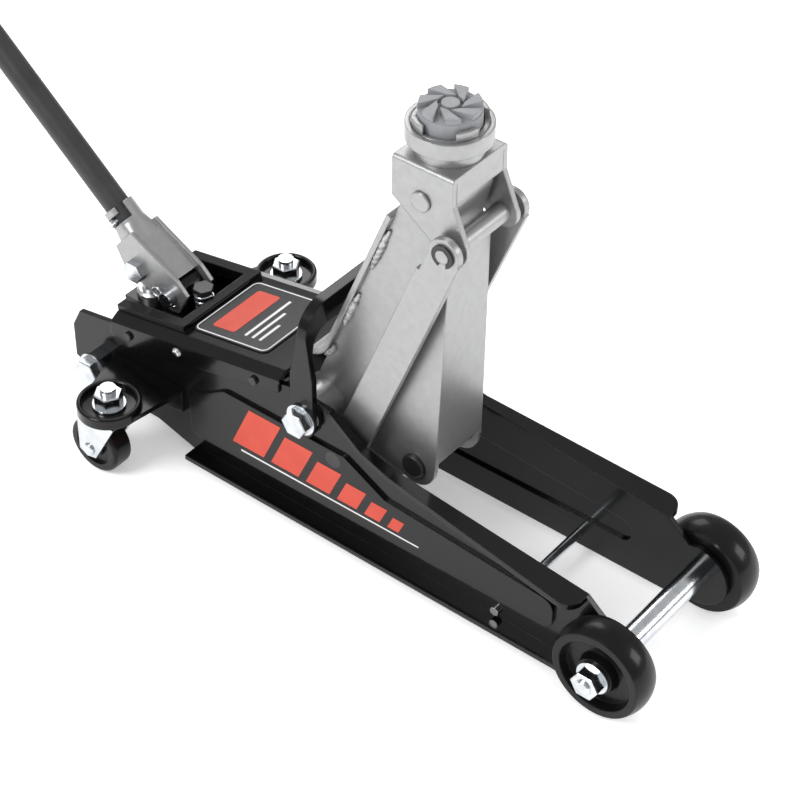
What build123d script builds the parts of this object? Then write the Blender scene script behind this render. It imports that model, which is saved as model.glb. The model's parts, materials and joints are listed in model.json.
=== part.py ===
from build123d import *
import math
import os

os.makedirs("parts", exist_ok=True)

# Fits between pieces that move on each other (radial) and running gaps between their faces
turn_clearance = 0.05
side_gap = 0.4

# Front axle and road wheels
wheel_radius = 37.0
wheel_edge_radius = 34.0
wheel_inner_y = 52.0
wheel_outer_y = 75.2
wheel_hub_radius = 14.0
wheel_dish_radius = 28.5
wheel_dish_depth = 7.0
axle_radius = 9.0
thread_radius = 6.0
washer_thickness = 2.0
nut_flats = 19.0
nut_height = 10.0

# Side plates
plate_inner_y = 47.0
plate_thickness = 4.0
nose_radius = 25.0
panel_depth = 2.5
panel_corner = 9.0
top_flange_y = 69.0
flange_front_back = 26.0
flange_corner_radius = 12.0
bottom_flange_y = 64.0
bottom_z = 8.0
cross_rod_back, cross_rod_z, cross_rod_radius = 98.0, 18.0, 3.5
cross_rod_stub = 3.0

# Lift linkage in the raised pose, (x from the front axle, z)
arm_pivot_back, arm_pivot_z = 268.0, 103.0
saddle_pin_back, saddle_pin_z = 186.0, 313.0
ram_pin_back, ram_pin_z = 190.0, 84.0
link_step_x, link_step_z = 25.5, -26.0
arm_foot_half = 27.0
arm_top_half = 21.0
arm_sheet = 4.0
arm_rear = 15.0
back_plate_top = 190.0
back_plate_bend = 48.0
back_plate_overhang = 4.0
curl_radius = 22.0
curl_turn = 60.0
pivot_shaft_radius = 11.0
sleeve_radius = 16.0
saddle_pin_radius = 6.5
saddle_pin_head = 7.4
ram_pin_radius = 7.0
ram_pin_head = 9.2
link_gap = 6.0
link_thickness = 5.0
link_half_width = 13.3
link_notch = 2.5
link_notch_length = 26.0
link_pin_radius = 7.0
link_rod_radius = 5.0
link_rod_middle = 7.0
cheek_gap = 3.5
cheek_thickness = 4.0

# Saddle, heights above the saddle pin
bracket_roof = 22.0
bracket_rear = 24.0
bracket_front = 25.0
flap_bottom = 6.0
flap_seam = 0.4
rod_boss_radius = 12.0
collar_radius = 29.0
collar_bore = 25.6
collar_height = 21.0
collar_floor = 12.0
cup_radius = 25.2
pad_radius = 21.0
pad_rise = 3.5
vane_height = 4.0
vane_count = 7
stub_radius = 7.0

# Hydraulic unit
ram_axis_z = 46.0
ram_radius = 12.0
bore_radius = 17.0
cylinder_radius = 20.0
tank_radius = 33.0
tank_wall = 3.0
roller_back, roller_z, roller_radius = 230.97, 55.32, 9.0
ram_link_inner_y = 16.0
ram_link_thickness = 5.0
ram_head_depth = 10.0
ram_head_width = 30.0
ram_head_height = 44.0
cylinder_front_back = 335.0
cylinder_rear_back = 455.0
tank_front_back = 345.0
block_front_back = 395.0
block_rear_back = 488.0
block_top_z = 84.0
block_bottom_z = 14.0
block_step_back, block_step_z = 442.0, 60.0
tower_half_width = 15.0
lug_half_width = 11.0
plunger_back = 464.0
plunger_radius = 8.0
pump_cylinder_radius = 12.0
plunger_bottom_z = 72.8
pump_bore_depth = 22.0
pump_seat_depth = 12.0
stem_back = 411.0
stem_flats = 14.0

# Handle socket and handle
socket_pivot_back, socket_pivot_z = 431.0, 106.0
lobe_back, lobe_z = 464.0, 115.0
socket_axis_back, socket_axis_z = 454.0, 117.3
handle_tilt = 40.5
socket_pin_radius = 6.0
ear_gap = 0.5
ear_thickness = 3.0
socket_wall = 2.5
socket_floor_at = 17.0
socket_neck_at = 38.0
socket_top_at = 53.0
handle_radius = 10.0
handle_wall = 2.0
grip_radius = 13.0
grip_length = 120.0
grip_end_wall = 4.0
handle_length = 600.0
joint_at = 300.0
bayonet_at = 44.0
bayonet_radius = 3.0

# Rear casters
king_back, king_y = 417.0, 99.0
caster_trail = 12.0
caster_radius = 23.0
caster_half_width = 9.0
caster_pin_radius = 5.0
bracket_z = 60.0
bracket_sheet = 4.0
cap_radius = 24.0
tie_back, tie_z = 469.0, 49.0
tie_spacer = 12.0
bracket_front_back = 386.0
bracket_rear_back = 455.0

# Cover and carry handle
cover_front_back, cover_front_z = 292.0, 127.0
cover_rear_back, cover_rear_z = 458.0, 97.0
cover_half_width = 44.0
cover_side_drop = 4.0
cover_sheet = 3.0
skirt_sheet = 2.0
skirt_front_z, skirt_rear_z = 112.0, 74.0
notch_front_back = 400.0
notch_half_width = 34.0
rim_width = 9.0
rim_height = 5.0
label_gap = 1.0
label_length, label_width = 73.0, 72.0
screw_radius = 2.5
strap_thickness = 5.0
strap_half_width = 10.0
strap_leg_top_z = 140.0
strap_top_z = 198.0
crossbar_height = 20.0
crossbar_rear, crossbar_front = 3.0, 5.0
strap_corner = 24.0

# Shared frame: +X to the front wheels, origin on the ground in the middle of the length
tilt = math.radians(handle_tilt)
handle_reach = handle_length * math.cos(tilt) + grip_radius * math.sin(tilt)
total_length = wheel_radius + socket_axis_back + handle_reach
axle_x = total_length / 2 - wheel_radius
axle_z = wheel_radius


def from_axle(back):
    return axle_x - back


def near_plane(y, x=0.0, z=0.0):
    """Sketch plane with X to the front and Z up, extruding outward on the near side."""
    return Plane(origin=(x, -y, z), x_dir=(1, 0, 0), z_dir=(0, -1, 0))


def far_copy(part):
    return mirror(part, about=Plane.XZ)


pivot_x = from_axle(arm_pivot_back)
saddle_x = from_axle(saddle_pin_back)
ram_pin_x = from_axle(ram_pin_back)
link_pin_x = pivot_x + link_step_x
link_pin_z = arm_pivot_z + link_step_z
rod_x = saddle_x + link_step_x
rod_z = saddle_pin_z + link_step_z
roller_x = from_axle(roller_back)
plate_outer_y = plate_inner_y + plate_thickness
link_inner_y = arm_foot_half + link_gap
link_outer_y = link_inner_y + link_thickness
cheek_inner_y = arm_top_half + cheek_gap
cheek_outer_y = cheek_inner_y + cheek_thickness
ear_inner_y = lug_half_width + ear_gap
ear_outer_y = ear_inner_y + ear_thickness
skirt_outer_y = plate_outer_y + skirt_sheet
tower_rear_back = plunger_back + tower_half_width

arm_length = math.hypot(saddle_x - pivot_x, saddle_pin_z - arm_pivot_z)
arm_dir = ((saddle_x - pivot_x) / arm_length, (saddle_pin_z - arm_pivot_z) / arm_length)
arm_plane = Plane(origin=(pivot_x, 0, arm_pivot_z), x_dir=(arm_dir[0], 0, arm_dir[1]), z_dir=(0, -1, 0))
arm_top_plane = Plane(
    origin=(pivot_x, 0, arm_pivot_z),
    x_dir=(arm_dir[0], 0, arm_dir[1]),
    z_dir=(-arm_dir[1], 0, arm_dir[0]),
)

handle_dir = (-math.cos(tilt), 0, math.sin(tilt))
handle_side = (math.sin(tilt), 0, math.cos(tilt))
socket_x = from_axle(socket_axis_back)


def handle_plane(along):
    """Plane across the handle axis; local Y runs across the jack."""
    origin = (socket_x + handle_dir[0] * along, 0, socket_axis_z + handle_dir[2] * along)
    return Plane(origin=origin, x_dir=handle_side, z_dir=handle_dir)


handle_profile_plane = Plane(origin=(socket_x, 0, socket_axis_z), x_dir=handle_dir, z_dir=(0, -1, 0))


def save(builder, name):
    builder.part.label = name
    export_step(builder.part, "parts/" + name + ".step")


screw_places = [(from_axle(315), 111.5), (from_axle(439), 88)]


def plate_panel(inset):
    """Outline of the panel that is pressed outward in each side plate."""
    outline = Polygon(
        (from_axle(380) + inset, 26 + inset),
        (from_axle(50) - inset, 30 + inset),
        (from_axle(50) - inset, 56 - inset),
        (from_axle(195), 65 - inset),
        (from_axle(232), 85 - inset),
        (from_axle(345), 85 - inset),
        (from_axle(380) + inset, 62),
        align=None,
    )
    return fillet(outline.vertices(), panel_corner)


# Side plates: web with pressed panel, outward top and bottom flanges, holes for every shaft
with BuildPart() as side_plate_near:
    with BuildSketch(near_plane(plate_inner_y)):
        Polygon(
            (from_axle(378), bottom_z),
            (from_axle(20), bottom_z),
            (from_axle(8), axle_z - nose_radius),
            (from_axle(8), axle_z + nose_radius - 1),
            (from_axle(flange_front_back), 76),
            (from_axle(190), 92),
            (from_axle(216), 99),
            (from_axle(246), 118),
            (from_axle(282), 121),
            (from_axle(492), 84),
            (from_axle(500), 68),
            (from_axle(500), 38),
            (from_axle(480), 29),
            (from_axle(440), 26),
            align=None,
        )
        with Locations((axle_x, axle_z)):
            Circle(nose_radius)
    extrude(amount=plate_thickness)
    with BuildSketch(near_plane(plate_outer_y)):
        Polygon(
            (from_axle(flange_front_back), 76),
            (from_axle(190), 92),
            (from_axle(216), 99),
            (from_axle(246), 118),
            (from_axle(246), 112),
            (from_axle(219), 94.5),
            (from_axle(191), 87.5),
            (from_axle(flange_front_back), 71.5),
            align=None,
        )
    extrude(amount=top_flange_y - plate_outer_y)
    with BuildSketch(Plane.XY):
        Polygon(
            (from_axle(14), -top_flange_y),
            (from_axle(250), -plate_outer_y - 1),
            (from_axle(250), -top_flange_y - 2),
            (from_axle(14), -top_flange_y - 2),
            align=None,
        )
    extrude(amount=140, mode=Mode.SUBTRACT)
    with BuildSketch(near_plane(plate_outer_y)):
        Polygon(
            (from_axle(378), bottom_z),
            (from_axle(38), bottom_z),
            (from_axle(38), bottom_z + plate_thickness),
            (from_axle(378), bottom_z + plate_thickness),
            align=None,
        )
    extrude(amount=bottom_flange_y - plate_outer_y)
    upright_edges = side_plate_near.edges().filter_by(Axis.Z)
    front_edges = upright_edges.filter_by_position(
        Axis.X, from_axle(flange_front_back + 1), from_axle(flange_front_back - 1)
    )
    fillet(front_edges.sort_by(Axis.Y)[0], flange_corner_radius)
    with BuildSketch(near_plane(plate_outer_y)):
        plate_panel(0)
    extrude(amount=panel_depth)
    with BuildSketch(near_plane(plate_inner_y)):
        plate_panel(plate_thickness)
    extrude(amount=panel_depth, mode=Mode.SUBTRACT)
    with BuildSketch(near_plane(plate_inner_y - panel_depth)):
        with Locations((axle_x, axle_z)):
            Circle(axle_radius)
        with Locations((pivot_x, arm_pivot_z)):
            Circle(pivot_shaft_radius)
        with Locations((link_pin_x, link_pin_z)):
            Circle(link_pin_radius)
        with Locations((from_axle(tie_back), tie_z)):
            Circle(thread_radius)
        with Locations(*screw_places):
            Circle(screw_radius)
    extrude(amount=20, mode=Mode.SUBTRACT)
save(side_plate_near, "side_plate_near")

with BuildPart() as side_plate_far:
    add(far_copy(side_plate_near.part))
save(side_plate_far, "side_plate_far")

# Front axle with its threaded ends, washers and flange nuts
axle_end_y = wheel_outer_y + side_gap
with BuildPart() as front_axle:
    with BuildSketch(near_plane(-axle_end_y, axle_x, axle_z)):
        Circle(axle_radius)
    extrude(amount=2 * axle_end_y)
    with BuildSketch(near_plane(-axle_end_y - 14, axle_x, axle_z)):
        Circle(thread_radius)
    extrude(amount=2 * axle_end_y + 28)
    chamfer(front_axle.edges().group_by(Axis.Y)[0] + front_axle.edges().group_by(Axis.Y)[-1], 1)
save(front_axle, "front_axle")

with BuildPart() as axle_washers:
    with BuildSketch(near_plane(axle_end_y, axle_x, axle_z)):
        Circle(12.5)
        Circle(thread_radius, mode=Mode.SUBTRACT)
    extrude(amount=washer_thickness)
    add(far_copy(axle_washers.part))
save(axle_washers, "axle_washers")

with BuildPart() as axle_nuts:
    with BuildSketch(near_plane(axle_end_y + washer_thickness, axle_x, axle_z)):
        RegularPolygon(nut_flats / 2, 6, major_radius=False)
    extrude(amount=nut_height)
    chamfer(axle_nuts.edges().group_by(Axis.Y)[0], 0.8)
    with BuildSketch(near_plane(axle_end_y + washer_thickness, axle_x, axle_z)):
        Circle(thread_radius)
    extrude(amount=nut_height, mode=Mode.SUBTRACT)
    add(far_copy(axle_nuts.part))
save(axle_nuts, "axle_nuts")

with BuildPart() as front_wheel_near:
    with BuildSketch(Plane(origin=(axle_x, 0, axle_z), x_dir=(1, 0, 0), z_dir=(0, 0, 1))):
        wheel_mid_y = (wheel_inner_y + wheel_outer_y) / 2
        with BuildLine():
            Polyline(
                (wheel_edge_radius, -wheel_inner_y),
                (axle_radius + turn_clearance, -wheel_inner_y),
                (axle_radius + turn_clearance, -wheel_outer_y),
                (wheel_hub_radius, -wheel_outer_y),
                (wheel_hub_radius + 2, -wheel_outer_y + wheel_dish_depth),
                (wheel_dish_radius - 2, -wheel_outer_y + wheel_dish_depth),
                (wheel_dish_radius, -wheel_outer_y),
                (wheel_edge_radius, -wheel_outer_y),
            )
            ThreePointArc(
                (wheel_edge_radius, -wheel_outer_y),
                (wheel_radius, -wheel_mid_y),
                (wheel_edge_radius, -wheel_inner_y),
            )
        make_face()
    revolve(axis=Axis((axle_x, 0, axle_z), (0, 1, 0)))
save(front_wheel_near, "front_wheel_near")

with BuildPart() as front_wheel_far:
    add(far_copy(front_wheel_near.part))
save(front_wheel_far, "front_wheel_far")

with BuildPart() as cross_rod:
    with BuildSketch(near_plane(plate_outer_y, from_axle(cross_rod_back), cross_rod_z)):
        Circle(cross_rod_radius)
    extrude(amount=cross_rod_stub)
    add(far_copy(cross_rod.part))
    with BuildSketch(near_plane(-plate_inner_y, from_axle(cross_rod_back), cross_rod_z)):
        Circle(cross_rod_radius)
    extrude(amount=2 * plate_inner_y)
save(cross_rod, "cross_rod")

with BuildPart() as rear_cross_plate:
    with BuildSketch(Plane(origin=(from_axle(494), 0, 46), x_dir=(0, 1, 0), z_dir=(1, 0, 0))):
        Rectangle(2 * plate_inner_y, 16)
    extrude(amount=4)
save(rear_cross_plate, "rear_cross_plate")

# Rear brackets, casters and the tie bolts through bracket and plate
with BuildPart() as rear_bracket_near:
    with BuildSketch(Plane.XY.offset(bracket_z)):
        Polygon(
            (from_axle(bracket_front_back), -plate_outer_y),
            (from_axle(bracket_rear_back), -plate_outer_y),
            (from_axle(king_back + cap_radius), -king_y),
            (from_axle(king_back - cap_radius), -king_y),
            align=None,
        )
        with Locations((from_axle(king_back), -king_y)):
            Circle(cap_radius)
    extrude(amount=bracket_sheet)
    with BuildSketch(Plane.XY.offset(bracket_z)):
        with Locations((from_axle(king_back), -king_y)):
            Circle(cap_radius)
            Circle(cap_radius - 4, mode=Mode.SUBTRACT)
    extrude(amount=bracket_sheet + 5)
    with BuildSketch(near_plane(plate_outer_y)):
        Polygon(
            (from_axle(bracket_front_back), bracket_z + bracket_sheet),
            (from_axle(bracket_rear_back), bracket_z + bracket_sheet),
            (from_axle(bracket_rear_back), bracket_z - 28),
            (from_axle(bracket_front_back), bracket_z - 16),
            align=None,
        )
    extrude(amount=bracket_sheet)
    with BuildSketch(Plane.XY.offset(bracket_z - 1)):
        with Locations((from_axle(king_back), -king_y)):
            Circle(thread_radius + turn_clearance)
    extrude(amount=bracket_sheet + 2, mode=Mode.SUBTRACT)
    fillet(rear_bracket_near.edges().group_by(Axis.Z)[-1], 1.9)
save(rear_bracket_near, "rear_bracket_near")

with BuildPart() as rear_bracket_far:
    add(far_copy(rear_bracket_near.part))
save(rear_bracket_far, "rear_bracket_far")

with BuildPart() as tie_bolts:
    with BuildSketch(near_plane(plate_inner_y, from_axle(tie_back), tie_z)):
        Circle(thread_radius)
    extrude(amount=plate_thickness + tie_spacer)
    with BuildSketch(near_plane(plate_outer_y, from_axle(tie_back), tie_z)):
        RegularPolygon(nut_flats / 2, 6, major_radius=False)
    extrude(amount=tie_spacer)
    with BuildSketch(near_plane(plate_outer_y + tie_spacer, from_axle(tie_back), tie_z)):
        Circle(12.5)
    extrude(amount=washer_thickness)
    with BuildSketch(near_plane(plate_outer_y + tie_spacer + washer_thickness, from_axle(tie_back), tie_z)):
        RegularPolygon(nut_flats / 2, 6, major_radius=False)
    extrude(amount=8)
    chamfer(tie_bolts.edges().group_by(Axis.Y)[0], 0.8)
    add(far_copy(tie_bolts.part))
save(tie_bolts, "tie_bolts")

caster_x = from_axle(king_back + caster_trail)
fork_top_z = bracket_z - 5
with BuildPart() as caster_fork_near:
    with BuildSketch(Plane(origin=(0, -king_y, 0), x_dir=(1, 0, 0), z_dir=(0, -1, 0))):
        Polygon(
            (from_axle(king_back - 15), fork_top_z),
            (from_axle(king_back + 22), fork_top_z),
            (from_axle(king_back + 22), caster_radius - 4),
            (caster_x - 3, caster_radius - 8),
            (caster_x + 6, caster_radius - 6),
            align=None,
        )
    extrude(amount=caster_half_width + 4, both=True)
    with BuildSketch(Plane(origin=(0, -king_y, 0), x_dir=(1, 0, 0), z_dir=(0, -1, 0))):
        with Locations((from_axle(king_back), 0)):
            Rectangle(120, 2 * (fork_top_z - 3))
    extrude(amount=caster_half_width + 1, both=True, mode=Mode.SUBTRACT)
    with BuildSketch(Plane.XY.offset(fork_top_z)):
        with Locations((from_axle(king_back), -king_y)):
            Circle(14)
    extrude(amount=5 - side_gap)
    with BuildSketch(Plane.XY.offset(fork_top_z)):
        with Locations((from_axle(king_back), -king_y)):
            Circle(thread_radius)
    extrude(amount=bracket_z + bracket_sheet + 17 - fork_top_z)
    with BuildSketch(Plane(origin=(caster_x, -king_y, caster_radius), x_dir=(1, 0, 0), z_dir=(0, -1, 0))):
        Circle(caster_pin_radius)
    extrude(amount=caster_half_width + 4, both=True, mode=Mode.SUBTRACT)
save(caster_fork_near, "caster_fork_near")

with BuildPart() as caster_fork_far:
    add(far_copy(caster_fork_near.part))
save(caster_fork_far, "caster_fork_far")

with BuildPart() as caster_pin_near:
    with BuildSketch(Plane(origin=(caster_x, -king_y, caster_radius), x_dir=(1, 0, 0), z_dir=(0, -1, 0))):
        Circle(caster_pin_radius)
    extrude(amount=caster_half_width + 6, both=True)
    fillet(caster_pin_near.edges().group_by(Axis.Y)[0] + caster_pin_near.edges().group_by(Axis.Y)[-1], 1.5)
save(caster_pin_near, "caster_pin_near")

with BuildPart() as caster_pin_far:
    add(far_copy(caster_pin_near.part))
save(caster_pin_far, "caster_pin_far")

king_top_z = bracket_z + bracket_sheet
with BuildPart() as caster_nut_near:
    with BuildSketch(Plane.XY.offset(king_top_z + side_gap)):
        with Locations((from_axle(king_back), -king_y)):
            Circle(12.5)
    extrude(amount=washer_thickness)
    with BuildSketch(Plane.XY.offset(king_top_z + side_gap + washer_thickness)):
        with Locations((from_axle(king_back), -king_y)):
            RegularPolygon(nut_flats / 2, 6, major_radius=False)
    extrude(amount=nut_height)
    chamfer(caster_nut_near.edges().group_by(Axis.Z)[-1], 0.8)
    with BuildSketch(Plane.XY.offset(king_top_z)):
        with Locations((from_axle(king_back), -king_y)):
            Circle(thread_radius)
    extrude(amount=20, mode=Mode.SUBTRACT)
save(caster_nut_near, "caster_nut_near")

with BuildPart() as caster_nut_far:
    add(far_copy(caster_nut_near.part))
save(caster_nut_far, "caster_nut_far")

with BuildPart() as caster_wheel_near:
    with BuildSketch(Plane(origin=(caster_x, -king_y, caster_radius), x_dir=(1, 0, 0), z_dir=(0, -1, 0))):
        Circle(caster_radius)
    extrude(amount=caster_half_width, both=True)
    fillet(caster_wheel_near.edges(), 3)
    for side in (-1, 1):
        face_plane = Plane(
            origin=(caster_x, -king_y + side * caster_half_width, caster_radius),
            x_dir=(1, 0, 0),
            z_dir=(0, side, 0),
        )
        with BuildSketch(face_plane):
            Circle(16)
            Circle(9, mode=Mode.SUBTRACT)
        extrude(amount=-2.5, mode=Mode.SUBTRACT)
    with BuildSketch(Plane(origin=(caster_x, -king_y, caster_radius), x_dir=(1, 0, 0), z_dir=(0, -1, 0))):
        Circle(caster_pin_radius + turn_clearance)
    extrude(amount=caster_half_width, both=True, mode=Mode.SUBTRACT)
save(caster_wheel_near, "caster_wheel_near")

with BuildPart() as caster_wheel_far:
    add(far_copy(caster_wheel_near.part))
save(caster_wheel_far, "caster_wheel_far")

# Arm pivot shaft, the carry handle on its ends and the bolts that clamp it
with BuildPart() as pivot_shaft:
    with BuildSketch(near_plane(-plate_outer_y, pivot_x, arm_pivot_z)):
        Circle(pivot_shaft_radius)
    extrude(amount=2 * plate_outer_y)
    with BuildSketch(near_plane(-plate_outer_y, pivot_x, arm_pivot_z)):
        Circle(thread_radius)
    extrude(amount=2 * plate_outer_y, mode=Mode.SUBTRACT)
save(pivot_shaft, "pivot_shaft")

strap_outer_y = plate_outer_y + strap_thickness
strap_foot_z = arm_pivot_z - 16
with BuildPart() as carry_handle:
    with BuildSketch(Plane(origin=(pivot_x, 0, 0), x_dir=(0, 1, 0), z_dir=(1, 0, 0))):
        strap_mid_z = (strap_top_z + strap_foot_z) / 2
        with Locations((0, strap_mid_z)):
            hoop = Rectangle(2 * strap_outer_y, strap_top_z - strap_foot_z)
        fillet(hoop.vertices().group_by(Axis.Y)[-1], strap_corner)
        with BuildSketch(mode=Mode.PRIVATE) as hand_gap:
            with Locations((0, strap_mid_z - crossbar_height)):
                gap = Rectangle(2 * plate_outer_y, strap_top_z - strap_foot_z)
            fillet(gap.vertices().group_by(Axis.Y)[-1], strap_corner - strap_thickness)
        add(hand_gap.sketch, mode=Mode.SUBTRACT)
    extrude(amount=strap_half_width, both=True)
    with BuildSketch(near_plane(-strap_outer_y)):
        Polygon(
            (pivot_x - strap_half_width, strap_foot_z),
            (pivot_x + strap_half_width, strap_foot_z),
            (pivot_x + strap_half_width, strap_leg_top_z),
            (pivot_x + crossbar_front, strap_top_z - crossbar_height),
            (pivot_x + crossbar_front, strap_top_z),
            (pivot_x - crossbar_rear, strap_top_z),
            (pivot_x - crossbar_rear, strap_top_z - crossbar_height),
            (pivot_x - strap_half_width, strap_leg_top_z),
            align=None,
        )
    extrude(amount=2 * strap_outer_y, mode=Mode.INTERSECT)
    with BuildSketch(near_plane(-strap_outer_y, pivot_x, arm_pivot_z)):
        Circle(thread_radius)
    extrude(amount=2 * strap_outer_y, mode=Mode.SUBTRACT)
    foot_edges = carry_handle.edges().filter_by(Axis.Y).group_by(Axis.Z)[0]
    fillet(foot_edges, strap_half_width - 0.5)
save(carry_handle, "carry_handle")

with BuildPart() as pivot_bolts:
    with BuildSketch(near_plane(plate_inner_y - 20, pivot_x, arm_pivot_z)):
        Circle(thread_radius)
    extrude(amount=strap_outer_y - plate_inner_y + 20)
    with BuildSketch(near_plane(strap_outer_y, pivot_x, arm_pivot_z)):
        Circle(12.5)
    extrude(amount=washer_thickness)
    with BuildSketch(near_plane(strap_outer_y + washer_thickness, pivot_x, arm_pivot_z)):
        RegularPolygon(nut_flats / 2, 6, major_radius=False)
    extrude(amount=8)
    chamfer(pivot_bolts.edges().group_by(Axis.Y)[0], 0.8)
    add(far_copy(pivot_bolts.part))
save(pivot_bolts, "pivot_bolts")


def arm_half(along):
    return arm_foot_half + (arm_top_half - arm_foot_half) * along / arm_length


def arm_wedge(inset):
    """Plan of the tapered arm, in along and across the arm."""
    low, high = -120.0, arm_length + 80
    return Polygon(
        (low, -arm_half(low) + inset),
        (high, -arm_half(high) + inset),
        (high, arm_half(high) - inset),
        (low, arm_half(low) - inset),
        align=None,
    )


# Ram pin in arm coordinates
ram_along = (ram_pin_x - pivot_x) * arm_dir[0] + (ram_pin_z - arm_pivot_z) * arm_dir[1]
ram_across = -(ram_pin_x - pivot_x) * arm_dir[1] + (ram_pin_z - arm_pivot_z) * arm_dir[0]
front_low = (20.0, -95.0)
front_high = (190.0, -34.0)

with BuildPart() as lift_arm:
    with BuildSketch(arm_plane):
        Polygon(
            (-14, 14),
            (14, arm_rear),
            (205, arm_rear),
            (arm_length, 18),
            (arm_length + 8, 4),
            (arm_length, -20),
            (203, -22),
            front_high,
            front_low,
            (ram_along - 16, ram_across),
            (-18, -6),
            align=None,
        )
        Circle(20)
        with Locations((ram_along, ram_across)):
            Circle(17)
        with Locations((arm_length, 0)):
            Circle(20)
    extrude(amount=60, both=True)
    with BuildSketch(arm_top_plane):
        arm_wedge(0)
    extrude(amount=160, both=True, mode=Mode.INTERSECT)
    with BuildPart(mode=Mode.PRIVATE) as arm_cavity:
        with BuildSketch(arm_plane):
            Polygon(
                (-80, 80),
                (-80, -140),
                (24, -140),
                (24, front_low[1] + 5.8),
                (front_high[0], front_high[1] + arm_sheet),
                (203, -22 + arm_sheet),
                (arm_length + 60, -22 + arm_sheet),
                (arm_length + 60, 80),
                align=None,
            )
        extrude(amount=60, both=True)
        with BuildSketch(arm_top_plane):
            arm_wedge(arm_sheet)
        extrude(amount=160, both=True, mode=Mode.INTERSECT)
    add(arm_cavity.part, mode=Mode.SUBTRACT)
    with BuildSketch(arm_plane):
        Circle(sleeve_radius)
        with Locations((ram_along, ram_across)):
            Circle(ram_pin_radius)
        with Locations((arm_length, 0)):
            Circle(saddle_pin_radius)
    extrude(amount=60, both=True, mode=Mode.SUBTRACT)
save(lift_arm, "lift_arm")

curl = math.radians(curl_turn)
curl_across = arm_rear + curl_radius
with BuildPart() as arm_back_plate:
    with BuildSketch(arm_plane):
        Polygon(
            (back_plate_bend, arm_rear),
            (back_plate_top, arm_rear),
            (back_plate_top, arm_rear + arm_sheet),
            (back_plate_bend, arm_rear + arm_sheet),
            align=None,
        )
        with BuildSketch(mode=Mode.PRIVATE) as curl_ring:
            with Locations((back_plate_bend, curl_across)):
                Circle(curl_radius)
                Circle(curl_radius - arm_sheet, mode=Mode.SUBTRACT)
            Polygon(
                (back_plate_bend, curl_across),
                (back_plate_bend, curl_across - 2 * curl_radius),
                (back_plate_bend - 2 * curl_radius * math.tan(curl), curl_across - 2 * curl_radius),
                mode=Mode.INTERSECT,
                align=None,
            )
        add(curl_ring.sketch)
    extrude(amount=60, both=True)
    with BuildSketch(arm_top_plane):
        arm_wedge(-back_plate_overhang)
    extrude(amount=160, both=True, mode=Mode.INTERSECT)
save(arm_back_plate, "arm_back_plate")

with BuildPart() as pivot_sleeve:
    with BuildSketch(near_plane(0, pivot_x, arm_pivot_z)):
        Circle(sleeve_radius)
        Circle(pivot_shaft_radius + turn_clearance, mode=Mode.SUBTRACT)
    extrude(amount=plate_inner_y - 1.5 * side_gap, both=True)
save(pivot_sleeve, "pivot_sleeve")

with BuildPart() as ram_pin:
    with BuildSketch(near_plane(-arm_half(ram_along) - 2, ram_pin_x, ram_pin_z)):
        Circle(ram_pin_radius)
    extrude(amount=2 * arm_half(ram_along) + 4)
    with BuildSketch(near_plane(arm_half(ram_along) + 0.6, ram_pin_x, ram_pin_z)):
        Circle(ram_pin_head)
    extrude(amount=3.5)
    fillet(ram_pin.edges().group_by(Axis.Y)[0], 1.5)
save(ram_pin, "ram_pin")

with BuildPart() as saddle_pin:
    with BuildSketch(near_plane(-cheek_outer_y - side_gap, saddle_x, saddle_pin_z)):
        Circle(saddle_pin_radius)
    extrude(amount=2 * (cheek_outer_y + side_gap))
    for side in (-1, 1):
        with BuildSketch(near_plane(side * (cheek_outer_y + side_gap), saddle_x, saddle_pin_z)):
            Circle(saddle_pin_head)
        extrude(amount=side * 1.9)
    fillet(saddle_pin.edges().group_by(Axis.Y)[0] + saddle_pin.edges().group_by(Axis.Y)[-1], 1)
save(saddle_pin, "saddle_pin")

# Link bars that keep the saddle level, with their frame pins
link_plane = Plane(
    origin=(link_pin_x, -link_inner_y, link_pin_z),
    x_dir=(arm_dir[0], 0, arm_dir[1]),
    z_dir=(0, -1, 0),
)
with BuildPart() as link_bar_near:
    with BuildSketch(link_plane):
        with Locations((arm_length / 2, 0)):
            Rectangle(arm_length, 2 * link_half_width)
        Circle(link_half_width)
        with Locations((arm_length, 0)):
            Circle(link_half_width - 1)
        with Locations((arm_length - link_notch_length / 2, link_half_width)):
            Rectangle(link_notch_length, 2 * link_notch, mode=Mode.SUBTRACT)
        with Locations((arm_length, 0)):
            Circle(link_half_width - 1)
        Circle(link_pin_radius + turn_clearance, mode=Mode.SUBTRACT)
        with Locations((arm_length, 0)):
            Circle(link_rod_radius + turn_clearance, mode=Mode.SUBTRACT)
    extrude(amount=link_thickness)
save(link_bar_near, "link_bar_near")

with BuildPart() as link_bar_far:
    add(far_copy(link_bar_near.part))
save(link_bar_far, "link_bar_far")

with BuildPart() as link_pins:
    with BuildSketch(near_plane(link_inner_y, link_pin_x, link_pin_z)):
        Circle(link_pin_radius)
    extrude(amount=plate_outer_y + panel_depth - link_inner_y)
    with BuildSketch(near_plane(link_outer_y + side_gap, link_pin_x, link_pin_z)):
        Circle(10)
    extrude(amount=plate_inner_y - link_outer_y - side_gap)
    add(far_copy(link_pins.part))
save(link_pins, "link_pins")

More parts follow.
